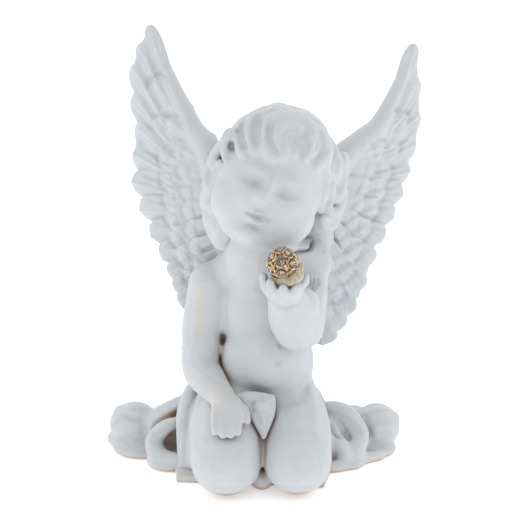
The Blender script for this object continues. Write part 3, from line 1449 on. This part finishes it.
@dataclass
class CrystalBall:
    """The gold-plated ball with its stones, and the glue that holds it."""

    rings: tuple[StoneRing, ...] = (
        StoneRing(4, 64, 20),
        StoneRing(7, 22, 0),
        StoneRing(7, -22, 14),
        StoneRing(4, -64, 60),
    )
    radius: float = 2.75
    tilt: float = 14
    core_inset: float = 0.42
    thread_radius: float = 0.45
    collar_wire: float = 0.075
    collar_stretch: float = 3.2
    collar_inset: float = 0.27
    grain_radius: float = 0.15
    neighbour_angle: float = 62
    stone_radius: float = 0.97
    table_radius: float = 0.52
    crown: float = 0.3
    pavilion: float = 0.4
    seat: float = 0.12
    sides: int = 8

    def ways(self) -> list[Vector]:
        """Give the way that each stone faces."""
        tilt = Matrix.Rotation(math.radians(self.tilt), 3, "Y")
        ways = []
        for ring in self.rings:
            up = math.radians(ring.latitude)
            for i in range(ring.count):
                around = math.radians(ring.turn + 360 * i / ring.count)
                way = Vector((math.cos(up) * math.cos(around), math.cos(up) * math.sin(around), math.sin(up)))
                ways.append(tilt @ way)
        return ways

    def put(self, piece: bpy.types.Object, way: Vector, height: float) -> None:
        """Move a small piece from the origin to its place on the ball.

        Args:
            piece: The piece, facing +Z.
            way: The way that it is to face.
            height: Its distance from the ball's middle.
        """
        turn = way.to_track_quat("Z", "Y").to_matrix().to_4x4()
        piece.data.transform(Matrix.Translation(Vector(BALL) + way * height) @ turn)

    def copy(self, master: bpy.types.Object, name: str) -> bpy.types.Object:
        """Copy a small piece with a mesh of its own."""
        choose([master])
        bpy.ops.object.duplicate()
        piece = bpy.context.object
        piece.name = piece.data.name = name
        return piece

    def shell(self) -> bpy.types.Object:
        """Model the metal shell: its core, a collar round each stone and grains between them.

        Returns:
            The shell.
        """
        bpy.ops.mesh.primitive_uv_sphere_add(
            segments=40, ring_count=24, radius=self.radius - self.core_inset, location=BALL
        )
        core = bpy.context.object
        through = 3 * self.radius
        bpy.ops.mesh.primitive_cylinder_add(
            vertices=20,
            radius=self.thread_radius,
            depth=through,
            location=BALL,
            rotation=(0, math.radians(self.tilt), 0),
        )
        drill = bpy.context.object
        cut = core.modifiers.new("thread_hole", "BOOLEAN")
        cut.operation = "DIFFERENCE"
        cut.object = drill
        apply_modifiers(core)
        bpy.data.objects.remove(drill)
        bpy.ops.object.select_all(action="DESELECT")
        choose([core])
        bpy.ops.object.transform_apply(location=True, rotation=True, scale=True)
        bpy.ops.mesh.primitive_torus_add(
            major_segments=20,
            minor_segments=8,
            major_radius=self.stone_radius + 0.03,
            minor_radius=self.collar_wire,
        )
        collar = bpy.context.object
        collar.data.transform(Matrix.Diagonal((1, 1, self.collar_stretch, 1)))
        bpy.ops.mesh.primitive_ico_sphere_add(subdivisions=2, radius=self.grain_radius)
        grain = bpy.context.object
        parts = [core]
        ways = self.ways()
        for way in ways:
            part = self.copy(collar, "collar")
            self.put(part, way, self.radius - self.collar_inset)
            parts.append(part)
        for i, way in enumerate(ways):
            for other in ways[i + 1 :]:
                if math.degrees(way.angle(other)) < self.neighbour_angle:
                    part = self.copy(grain, "grain")
                    self.put(part, (way + other).normalized(), self.radius - 0.02)
                    parts.append(part)
        for master in (collar, grain):
            bpy.data.objects.remove(master)
        shell = choose(parts)
        bpy.ops.object.join()
        shell = bpy.context.object
        shell.name = shell.data.name = "ball_shell_plated"
        return shell

    def stone(self) -> bpy.types.Object:
        """Model one cut stone at the origin, its table facing +Z.

        Returns:
            The stone, whose lower faces use the second material.
        """
        half = math.radians(180 / self.sides)
        bpy.ops.mesh.primitive_cone_add(
            vertices=self.sides * 2,
            radius1=self.stone_radius,
            radius2=self.table_radius,
            depth=self.crown,
            location=(0, 0, self.crown / 2),
        )
        crown = bpy.context.object
        bpy.ops.mesh.primitive_cone_add(
            vertices=self.sides * 2,
            radius1=0.04,
            radius2=self.stone_radius,
            depth=self.pavilion,
            location=(0, 0, -self.pavilion / 2),
        )
        pavilion = bpy.context.object
        choose([crown, pavilion])
        bpy.ops.object.join()
        piece = bpy.context.object
        bpy.ops.object.transform_apply(location=True, rotation=True, scale=True)
        bpy.ops.object.mode_set(mode="EDIT")
        bpy.ops.mesh.select_mode(type="FACE")
        bpy.ops.mesh.select_all(action="DESELECT")
        bpy.ops.object.mode_set(mode="OBJECT")
        for face in piece.data.polygons:
            face.select = abs(face.center.z) < 0.01 and abs(face.normal.z) > 0.9
        bpy.ops.object.mode_set(mode="EDIT")
        bpy.ops.mesh.delete(type="FACE")
        bpy.ops.mesh.select_all(action="SELECT")
        bpy.ops.mesh.remove_doubles(threshold=0.01)
        bpy.ops.mesh.normals_make_consistent(inside=False)
        bpy.ops.object.mode_set(mode="OBJECT")
        for i, vertex in enumerate(piece.data.vertices):
            angle = math.atan2(vertex.co.y, vertex.co.x)
            odd = round(angle / half) % 2
            if odd and vertex.co.z > 0.2:
                vertex.co.x *= 0.9
                vertex.co.y *= 0.9
        return piece

    def stones(self) -> list[bpy.types.Object]:
        """Model every stone in its place.

        Returns:
            The stones, in the order of the frame's nodes.
        """
        master = self.stone()
        stones = []
        for i, way in enumerate(self.ways()):
            piece = self.copy(master, f"crystal_{i + 1:02d}_cut")
            piece.data.transform(Matrix.Rotation(0.7 * i, 4, "Z"))
            self.put(piece, way, self.radius - self.seat)
            stones.append(piece)
        bpy.data.objects.remove(master)
        return stones

    def glue(self) -> bpy.types.Object:
        """Model the dried glue between the ball and the hand.

        Returns:
            The glue's skin.
        """
        ball = Vector(BALL)
        lumps = [
            lump(ball + Vector((0.6, 0.2, -2.8)), (2.7, 2.3, 1.5)),
            lump(ball + Vector((2.3, -0.2, -2.1)), (1.6, 1.7, 1.5), (0, 24, 0)),
            lump(ball + Vector((3, 0.4, -1.2)), (0.8, 1, 1.1), (0, 24, 0)),
            lump(ball + Vector((1.2, -1.2, -2.9)), (1.5, 1.3, 1)),
        ]
        piece = press_together(lumps, "glue_pad_dried", 0.14)
        skin = Skin(piece).fill_hollows(12)
        return skin.soften(2).done()


# ---- finishes ----


class Wiring:
    """A material's or a group's nodes, added and joined one after another."""

    def __init__(self, tree: bpy.types.NodeTree) -> None:
        """Start with an empty tree."""
        self.tree = tree
        tree.nodes.clear()

    def add(self, kind: str, **settings: object) -> bpy.types.Node:
        """Add a node.

        Args:
            kind: Its type.
            settings: Its properties; a name in capitals with underscores for spaces sets an input.

        Returns:
            The node.
        """
        node = self.tree.nodes.new(kind)
        for name, value in settings.items():
            if name[0].isupper():
                node.inputs[name.replace("_", " ")].default_value = value
            else:
                setattr(node, name, value)
        return node

    def join(self, source: bpy.types.NodeSocket, target: bpy.types.NodeSocket) -> None:
        """Join an output to an input."""
        self.tree.links.new(source, target)

    def ramp(
        self, source: bpy.types.NodeSocket, stops: Sequence[tuple[float, float]]
    ) -> bpy.types.NodeSocket:
        """Turn a value into another by a ramp of greys.

        Args:
            source: The value.
            stops: Pairs of a position and a grey.

        Returns:
            The new value.
        """
        node = self.add("ShaderNodeValToRGB")
        elements = node.color_ramp.elements
        while len(elements) < len(stops):
            elements.new(0.5)
        for element, (position, grey) in zip(elements, stops):
            element.position = position
            element.color = (grey, grey, grey, 1)
        self.join(source, node.inputs["Fac"])
        return node.outputs["Color"]

    def blend(self, share: bpy.types.NodeSocket, first: object, second: object) -> bpy.types.NodeSocket:
        """Mix two colours.

        Args:
            share: How much of the second.
            first: A colour or an output.
            second: A colour or an output.

        Returns:
            The mixed colour.
        """
        node = self.add("ShaderNodeMix", data_type="RGBA")
        self.join(share, node.inputs["Factor"])
        for value, socket in ((first, node.inputs[6]), (second, node.inputs[7])):
            if isinstance(value, bpy.types.NodeSocket):
                self.join(value, socket)
            else:
                socket.default_value = (*value, 1)
        return node.outputs[2]

    def bump(self, height: bpy.types.NodeSocket, distance: float, strength: float) -> bpy.types.NodeSocket:
        """Raise the surface by a height, in metres at most."""
        node = self.add("ShaderNodeBump", Distance=distance, Strength=strength)
        self.join(height, node.inputs["Height"])
        return node.outputs["Normal"]


def cast_surface_group() -> bpy.types.NodeTree:
    """Make the group of marks that casting leaves: mottling, grain and pin-holes.

    Returns:
        The group, with the outputs Mottle, Grain and Pinhole.
    """
    tree = bpy.data.node_groups.new("cast_surface", "ShaderNodeTree")
    for name, size in (("Blotch Size", 260), ("Grain Size", 3600), ("Hole Size", 210)):
        socket = tree.interface.new_socket(name, in_out="INPUT", socket_type="NodeSocketFloat")
        socket.default_value = size
    for name in ("Mottle", "Grain", "Pinhole"):
        tree.interface.new_socket(name, in_out="OUTPUT", socket_type="NodeSocketFloat")
    wiring = Wiring(tree)
    given = wiring.add("NodeGroupInput")
    put = wiring.add("NodeGroupOutput")
    place = wiring.add("ShaderNodeTexCoord").outputs["Object"]
    blotch = wiring.add("ShaderNodeTexNoise", Detail=3.0, Roughness=0.6)
    wiring.join(place, blotch.inputs["Vector"])
    wiring.join(given.outputs["Blotch Size"], blotch.inputs["Scale"])
    wiring.join(blotch.outputs["Fac"], put.inputs["Mottle"])
    grain = wiring.add("ShaderNodeTexNoise", Detail=4.0, Roughness=0.65)
    wiring.join(place, grain.inputs["Vector"])
    wiring.join(given.outputs["Grain Size"], grain.inputs["Scale"])
    wiring.join(grain.outputs["Fac"], put.inputs["Grain"])
    cells = wiring.add("ShaderNodeTexVoronoi")
    wiring.join(place, cells.inputs["Vector"])
    wiring.join(given.outputs["Hole Size"], cells.inputs["Scale"])
    rare = wiring.add("ShaderNodeSeparateColor")
    wiring.join(cells.outputs["Color"], rare.inputs["Color"])
    dot = wiring.ramp(cells.outputs["Distance"], [(0.025, 1), (0.05, 0)])
    some = wiring.ramp(rare.outputs["Red"], [(0.93, 0), (0.95, 1)])
    both = wiring.add("ShaderNodeMath", operation="MULTIPLY")
    wiring.join(dot, both.inputs[0])
    wiring.join(some, both.inputs[1])
    wiring.join(both.outputs[0], put.inputs["Pinhole"])
    return tree


@dataclass(frozen=True)
class CastResin:
    """Matt white cast resin, slightly mottled, warmer and darker in its deep hollows."""

    name: str
    light: Triple = (0.605, 0.624, 0.64)
    cool: Triple = (0.575, 0.598, 0.617)
    deep: Triple = (0.31, 0.2, 0.13)
    stain: Triple = (0.50, 0.36, 0.19)
    roughness: float = 0.58
    depth: float = 0.0035
    spotting: float = 0.8
    warm: Triple = (0.63, 0.595, 0.5)
    warm_place: tuple[Vector, Triple] | None = None

    def make(self, surface: bpy.types.NodeTree) -> bpy.types.Material:
        """Make the material.

        Args:
            surface: The group of casting marks.

        Returns:
            The material.
        """
        material = bpy.data.materials.new(self.name)
        material.use_nodes = True
        wiring = Wiring(material.node_tree)
        out = wiring.add("ShaderNodeOutputMaterial")
        shader = wiring.add("ShaderNodeBsdfPrincipled", Roughness=self.roughness, Specular_IOR_Level=0.32)
        wiring.join(shader.outputs["BSDF"], out.inputs["Surface"])
        marks = wiring.add("ShaderNodeGroup", node_tree=surface)
        mottle = wiring.ramp(marks.outputs["Mottle"], [(0.38, 0), (0.64, 1)])
        tone = wiring.blend(mottle, self.light, self.cool)
        hollow = wiring.add("ShaderNodeAmbientOcclusion", Distance=self.depth)
        hollow.samples = 8
        shade = wiring.ramp(hollow.outputs["AO"], [(0.1, 0.95), (0.32, 0.36), (0.56, 0)])
        place = wiring.add("ShaderNodeTexCoord").outputs["Object"]
        if self.warm_place:
            middle, reach = self.warm_place
            away = wiring.add("ShaderNodeVectorMath", operation="SUBTRACT")
            wiring.join(place, away.inputs[0])
            away.inputs[1].default_value = middle
            scaled = wiring.add("ShaderNodeVectorMath", operation="DIVIDE")
            wiring.join(away.outputs[0], scaled.inputs[0])
            scaled.inputs[1].default_value = [length * MM for length in reach]
            far = wiring.add("ShaderNodeVectorMath", operation="LENGTH")
            wiring.join(scaled.outputs[0], far.inputs[0])
            tone = wiring.blend(wiring.ramp(far.outputs["Value"], [(0.15, 0.7), (1, 0)]), tone, self.warm)
        tone = wiring.blend(shade, tone, self.deep)
        spots = wiring.add("ShaderNodeTexNoise", Scale=420.0, Detail=2.0)
        wiring.join(place, spots.inputs["Vector"])
        spot = wiring.ramp(spots.outputs["Fac"], [(self.spotting - 0.05, 0), (self.spotting + 0.02, 0.7)])
        tone = wiring.blend(spot, tone, self.stain)
        tone = wiring.blend(marks.outputs["Pinhole"], tone, (0.2, 0.17, 0.15))
        wiring.join(tone, shader.inputs["Base Color"])
        rough = wiring.ramp(
            marks.outputs["Grain"], [(0.3, self.roughness - 0.08), (0.7, self.roughness + 0.14)]
        )
        wiring.join(rough, shader.inputs["Roughness"])
        height = wiring.add("ShaderNodeMath", operation="MULTIPLY_ADD")
        wiring.join(marks.outputs["Pinhole"], height.inputs[0])
        height.inputs[1].default_value = -3.0
        wiring.join(marks.outputs["Grain"], height.inputs[2])
        wiring.join(wiring.bump(height.outputs[0], 0.00008, 0.55), shader.inputs["Normal"])
        return material


@dataclass(frozen=True)
class GoldPlate:
    """Bright gold plating, duller in patches."""

    bright: Triple = (0.86, 0.65, 0.4)
    dull: Triple = (0.46, 0.29, 0.13)
    roughness: float = 0.24

    def make(self) -> bpy.types.Material:
        """Make the material."""
        material = bpy.data.materials.new("gold_plating")
        material.use_nodes = True
        wiring = Wiring(material.node_tree)
        out = wiring.add("ShaderNodeOutputMaterial")
        shader = wiring.add("ShaderNodeBsdfPrincipled", Metallic=1.0, Roughness=self.roughness)
        wiring.join(shader.outputs["BSDF"], out.inputs["Surface"])
        place = wiring.add("ShaderNodeTexCoord").outputs["Object"]
        patches = wiring.add("ShaderNodeTexNoise", Scale=2200.0, Detail=3.0)
        wiring.join(place, patches.inputs["Vector"])
        share = wiring.ramp(patches.outputs["Fac"], [(0.4, 0), (0.66, 1)])
        wiring.join(wiring.blend(share, self.bright, self.dull), shader.inputs["Base Color"])
        rough = wiring.ramp(
            patches.outputs["Fac"], [(0.35, self.roughness - 0.08), (0.7, self.roughness + 0.2)]
        )
        wiring.join(rough, shader.inputs["Roughness"])
        wiring.join(wiring.bump(patches.outputs["Fac"], 0.00003, 0.5), shader.inputs["Normal"])
        return material


@dataclass(frozen=True)
class CutCrystal:
    """Clear cut crystal and the foil behind it, bright on one facet and dark on the next."""

    clear: Triple = (0.97, 0.96, 0.94)
    foil: Triple = (0.86, 0.84, 0.80)
    shadow: Triple = (0.13, 0.10, 0.075)

    def make(self) -> list[bpy.types.Material]:
        """Make the crystal's, the bright foil's and the dark foil's materials, in this order."""
        made = []
        for name, colour in (
            ("clear_crystal", self.clear), ("crystal_foil", self.foil), ("dark_foil", self.shadow)
        ):
            material = bpy.data.materials.new(name)
            material.use_nodes = True
            wiring = Wiring(material.node_tree)
            out = wiring.add("ShaderNodeOutputMaterial")
            shader = wiring.add("ShaderNodeBsdfPrincipled", Roughness=0.03, IOR=1.58)
            wiring.join(shader.outputs["BSDF"], out.inputs["Surface"])
            place = wiring.add("ShaderNodeTexCoord").outputs["Object"]
            haze = wiring.add("ShaderNodeTexNoise", Scale=1500.0, Detail=2.0)
            wiring.join(place, haze.inputs["Vector"])
            share = wiring.ramp(haze.outputs["Fac"], [(0.35, 0), (0.7, 1)])
            darker = tuple(0.8 * channel for channel in colour)
            wiring.join(wiring.blend(share, colour, darker), shader.inputs["Base Color"])
            wiring.join(
                wiring.ramp(haze.outputs["Fac"], [(0.3, 0.015), (0.8, 0.07)]), shader.inputs["Roughness"]
            )
            if name == "clear_crystal":
                shader.inputs["Transmission Weight"].default_value = 1.0
            else:
                shader.inputs["Metallic"].default_value = 1.0
            made.append(material)
        return made


@dataclass(frozen=True)
class DriedGlue:
    """Dried glue, clear with a yellow cast."""

    pale: Triple = (0.74, 0.70, 0.56)
    yellow: Triple = (0.62, 0.53, 0.30)

    def make(self) -> bpy.types.Material:
        """Make the material."""
        material = bpy.data.materials.new("dried_glue")
        material.use_nodes = True
        wiring = Wiring(material.node_tree)
        out = wiring.add("ShaderNodeOutputMaterial")
        shader = wiring.add("ShaderNodeBsdfPrincipled", Roughness=0.22, IOR=1.48, Transmission_Weight=0.35)
        wiring.join(shader.outputs["BSDF"], out.inputs["Surface"])
        place = wiring.add("ShaderNodeTexCoord").outputs["Object"]
        clouds = wiring.add("ShaderNodeTexNoise", Scale=900.0, Detail=3.0)
        wiring.join(place, clouds.inputs["Vector"])
        share = wiring.ramp(clouds.outputs["Fac"], [(0.35, 0), (0.65, 1)])
        wiring.join(wiring.blend(share, self.pale, self.yellow), shader.inputs["Base Color"])
        wiring.join(wiring.ramp(clouds.outputs["Fac"], [(0.3, 0.16), (0.8, 0.4)]), shader.inputs["Roughness"])
        wiring.join(wiring.bump(clouds.outputs["Fac"], 0.0001, 0.6), shader.inputs["Normal"])
        return material


# ---- the studio ----


@dataclass(frozen=True)
class Softbox:
    """A soft square light that faces the figure: its place and side in metres and its power in watts."""

    name: str
    place: Triple
    size: float
    power: float

    def hang(self) -> None:
        """Add the light."""
        bpy.ops.object.light_add(type="AREA", location=self.place)
        lamp = bpy.context.object
        lamp.name = self.name
        lamp.data.size = self.size
        lamp.data.energy = self.power
        aim = Vector((0, 0, 0.04)) - Vector(self.place)
        lamp.rotation_euler = aim.to_track_quat("-Z", "Y").to_euler()


@dataclass
class Studio:
    """A white table, a white room, soft side lights and the camera."""

    drawing: Drawing
    aim: Triple = (-1.3, 0, 41.07)
    distance: float = 420
    elevation: float = 18
    lens: float = 159.5
    table_glow: float = 0.42
    dim_side: Triple = (0.5, 0.51, 0.52)
    bright_side: Triple = (1.22, 1.22, 1.22)
    softboxes: tuple[Softbox, ...] = (
        Softbox("left_softbox", (-0.7, -0.25, 0.25), 0.6, 0.24),
        Softbox("right_softbox", (0.7, -0.1, 0.3), 0.6, 0.2),
        Softbox("top_softbox", (0, 0.25, 0.9), 0.8, 0.15),
        Softbox("front_softbox", (0, -0.9, 0.06), 0.5, 0.54),
    )

    def camera(self) -> None:
        """Set up the camera."""
        bpy.ops.object.camera_add()
        camera = bpy.context.object
        camera.name = "studio_camera"
        camera.data.lens = self.lens
        camera.data.clip_start = 0.01
        up = math.radians(self.elevation)
        back = Vector((0, -math.cos(up), math.sin(up)))
        camera.location = self.drawing.point(self.aim) + back * self.distance * MM
        camera.rotation_euler = (-back).to_track_quat("-Z", "Y").to_euler()
        bpy.context.scene.camera = camera

    def room(self) -> None:
        """Add the table and the light of the room, which is dimmer on the camera's side."""
        bpy.ops.mesh.primitive_plane_add(size=4)
        floor = bpy.context.object
        floor.name = "table_top"
        material = bpy.data.materials.new("white_table")
        material.use_nodes = True
        shader = material.node_tree.nodes["Principled BSDF"]
        shader.inputs["Base Color"].default_value = (0.93, 0.93, 0.93, 1)
        shader.inputs["Roughness"].default_value = 0.9
        shader.inputs["Emission Color"].default_value = (1, 1, 1, 1)
        shader.inputs["Emission Strength"].default_value = self.table_glow
        floor.data.materials.append(material)
        world = bpy.context.scene.world or bpy.data.worlds.new("room")
        bpy.context.scene.world = world
        world.use_nodes = True
        wiring = Wiring(world.node_tree)
        out = wiring.add("ShaderNodeOutputWorld")
        glow = wiring.add("ShaderNodeBackground", Strength=1.0)
        wiring.join(glow.outputs["Background"], out.inputs["Surface"])
        way = wiring.add("ShaderNodeTexCoord").outputs["Generated"]
        parts = wiring.add("ShaderNodeSeparateXYZ")
        wiring.join(way, parts.inputs["Vector"])
        span = wiring.add("ShaderNodeMapRange", interpolation_type="SMOOTHSTEP")
        wiring.join(parts.outputs["Y"], span.inputs["Value"])
        span.inputs["From Min"].default_value = -1.0
        span.inputs["From Max"].default_value = 0.15
        wiring.join(
            wiring.blend(span.outputs["Result"], self.dim_side, self.bright_side), glow.inputs["Color"]
        )

    def build(self) -> None:
        """Set up the whole studio."""
        self.camera()
        self.room()
        for softbox in self.softboxes:
            softbox.hang()
        bpy.context.scene.view_settings.view_transform = "Standard"


# ---- the whole figure ----


def castings() -> list[tuple[Callable[[], bpy.types.Object], str]]:
    """List how each casting is built and the node that it stands for."""
    return [
        (Body().build, "torso_and_legs"),
        (Head().build, "head_with_hair"),
        (RestingForearm().build, "right_forearm_and_hand"),
        (RaisedForearm().build, "left_forearm_and_hand"),
        (RIGHT_WING.build, "right_wing"),
        (LEFT_WING.build, "left_wing"),
        (REAR_DRAPE.build, "drapery_rear"),
        (RIGHT_HEAP.build, "drapery_right_heap"),
        (LEFT_HEAP.build, "drapery_left_heap"),
        (HIP_FALL.build, "drapery_hip_fall"),
        (LAP_CORNER.build, "drapery_lap_corner"),
        (BaseSlab().build, "base_slab"),
    ]


def resins(drawing: Drawing) -> dict[str, bpy.types.Material]:
    """Make the cast finishes, by the node that takes each; the empty name is for all the others.

    Args:
        drawing: The drawing, in which the yellowed places are known.

    Returns:
        The materials.
    """
    surface = cast_surface_group()
    heaps = CastResin("white_cast_heaps", deep=(0.44, 0.27, 0.15), depth=0.0055).make(surface)
    wings = CastResin("white_cast_wings", spotting=0.785, deep=(0.4, 0.33, 0.27)).make(surface)
    arm = (drawing.point((-11.8, -4.2, 31.6)), (1.7, 5, 9))
    hand = (drawing.point((-8, -13, 17.4)), (3, 6, 5))
    hand_resin = CastResin("white_cast_hand", warm=(0.64, 0.625, 0.57), warm_place=hand)
    base_resin = CastResin("white_cast_base", light=(0.62, 0.62, 0.605), cool=(0.575, 0.575, 0.56))
    return {
        "": CastResin("white_cast_resin").make(surface),
        "right_wing": wings,
        "left_wing": wings,
        "drapery_right_heap": heaps,
        "drapery_left_heap": heaps,
        "torso_and_legs": CastResin("white_cast_body", warm_place=arm).make(surface),
        "right_forearm_and_hand": hand_resin.make(surface),
        "base_slab": base_resin.make(surface),
    }


@dataclass
class Figurine:
    """The figurine: builds each piece, puts it in its place and says what it stands for."""

    drawing: Drawing
    pieces: dict[str, int] = field(default_factory=dict)

    def admit(
        self,
        piece: bpy.types.Object,
        nodes: Sequence[str],
        materials: Sequence[bpy.types.Material],
        soft: bool = True,
    ) -> None:
        """Finish a piece and hand it to the frame.

        Args:
            piece: The piece, modelled in the drawing.
            nodes: The nodes that it stands for.
            materials: Its materials.
            soft: Whether it is shaded smooth.
        """
        self.drawing.settle(piece)
        piece.data.materials.clear()
        for material in materials:
            piece.data.materials.append(material)
        if soft:
            shade_soft(piece)
        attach(piece, "root")
        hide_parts(*nodes)
        faces = sum(len(face.vertices) - 2 for face in piece.data.polygons)
        self.pieces[piece.name] = faces
        LOG.info("%s: %d triangles", piece.name, faces)

    def ball(self) -> None:
        """Build the ball, its stones and its glue."""
        ball = CrystalBall()
        self.admit(ball.glue(), ["glue_pad"], [DriedGlue().make()])
        self.admit(ball.shell(), ["ball_shell"], [GoldPlate().make()])
        finishes = CutCrystal().make()
        for i, stone in enumerate(ball.stones()):
            self.admit(stone, [f"crystal_{i + 1:02d}"], finishes, soft=False)
            for number, face in enumerate(stone.data.polygons):
                outward = face.center / MM - self.drawing.shift - Vector(BALL)
                face.material_index = 1 + number % 2 if face.normal.dot(outward) < 0 else 0

    def build(self) -> None:
        """Build every piece."""
        finishes = resins(self.drawing)
        for build, node in castings():
            self.admit(build(), [node], [finishes.get(node, finishes[""])])
        self.ball()


def main() -> None:
    """Build the figurine and the studio."""
    logging.basicConfig(level=logging.INFO, format="%(message)s")
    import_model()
    drawing = Drawing.from_frame()
    clear_selection()
    Studio(drawing).build()
    Figurine(drawing).build()
    clear_selection()


if __name__ == "__main__":
    main()
